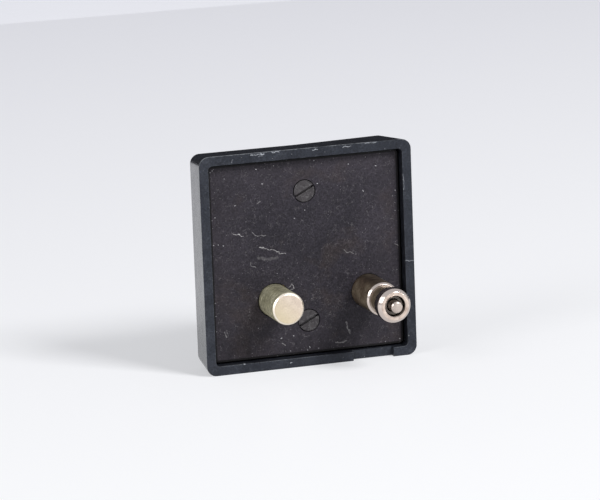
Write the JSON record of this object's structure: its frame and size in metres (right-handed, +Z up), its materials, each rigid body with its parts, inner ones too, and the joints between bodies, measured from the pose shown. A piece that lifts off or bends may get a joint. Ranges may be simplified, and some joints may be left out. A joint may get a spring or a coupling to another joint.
{
  "type": "plug-in electric shutter release",
  "caption": "Small black square release with a screwed-down metal plate, a guide pin and a two-pole plug, and a sprung button with a cable socket on its back.",
  "frame": {"origin": "middle of the box's bottom, below the middle of the case, on the surface that the bottom front edge stands on", "axes": "+X right and +Z up as seen from the plug side, +Y rearward from the plug side to the button side"},
  "size_m": [0.045, 0.0332, 0.045],
  "materials": {
    "case_black": "satin moulded, worn pale along the rim",
    "plate_black": "faded black anodising, scratched",
    "screw_black": "blackened, worn",
    "tarnished_nickel": "nickel plated, tarnished",
    "plug_nickel": "nickel plated, worn to brown on the shank",
    "insulator": "moulded",
    "button_black": "polished",
    "collar_chrome": "bright plated",
    "inner_brass": "plain turned",
    "contact_bronze": "rolled strip",
    "spring_steel": "drawn",
    "brown_board": "laminated paper board",
    "red_lead": "soft insulation",
    "black_lead": "soft insulation"
  },
  "bodies": {
    "housing": {"case": "case_black", "base_plate": "plate_black", "cover_screw_upper": "screw_black", "cover_screw_lower": "screw_black", "threaded_insert_upper": "inner_brass", "threaded_insert_lower": "inner_brass", "guide_pin": "tarnished_nickel", "guide_pin_nut": "inner_brass", "plug_sleeve": "plug_nickel", "plug_nut": "inner_brass", "ground_tag": "inner_brass", "plug_insulator": "insulator", "contact_pin_spring": "spring_steel", "centre_terminal": "inner_brass", "button_spring": "spring_steel", "button_collar": "collar_chrome", "plunger_bush": "inner_brass", "switch_base": "brown_board", "fixed_contact": "contact_bronze", "fixed_contact_rivet": "inner_brass", "leaf_spacer": "brown_board", "leaf_rivet_left": "inner_brass", "leaf_rivet_right": "inner_brass", "switch_screw_left": "spring_steel", "switch_screw_right": "spring_steel", "signal_lead": "red_lead", "ground_lead": "black_lead"},
    "button": {"release_button": "button_black"},
    "plunger": {"plunger": "spring_steel"},
    "leaf": {"contact_leaf": "contact_bronze"},
    "centre_pin": {"contact_pin": "plug_nickel"}
  },
  "joints": [
    {"name": "button_slide", "type": "slide", "parent": "housing", "child": "button", "axis": [0, -1, 0], "range_m": [0, 0.0012], "stiffness_N_per_m": 400, "springref_m": -0.001, "deforming": ["button_spring"]},
    {"name": "plunger_slide", "type": "slide", "parent": "housing", "child": "plunger", "axis": [0, -1, 0], "range_m": [0, 0.0012]},
    {"name": "leaf_flex", "type": "hinge", "parent": "housing", "child": "leaf", "pos_m": [0.0115, 0.0074, 0.0384], "axis": [-1, 0, 0], "range_deg": [0, 7]},
    {"name": "centre_pin_slide", "type": "slide", "parent": "housing", "child": "centre_pin", "axis": [0, 1, 0], "range_m": [0, 0.001], "stiffness_N_per_m": 600, "springref_m": -0.0008, "deforming": ["contact_pin_spring"]}
  ],
  "couplings": [
    {"joint": "plunger_slide", "follows": "button_slide", "ratio": 1},
    {"joint": "leaf_flex", "follows": "button_slide", "rad_per_m": 101.26}
  ]
}
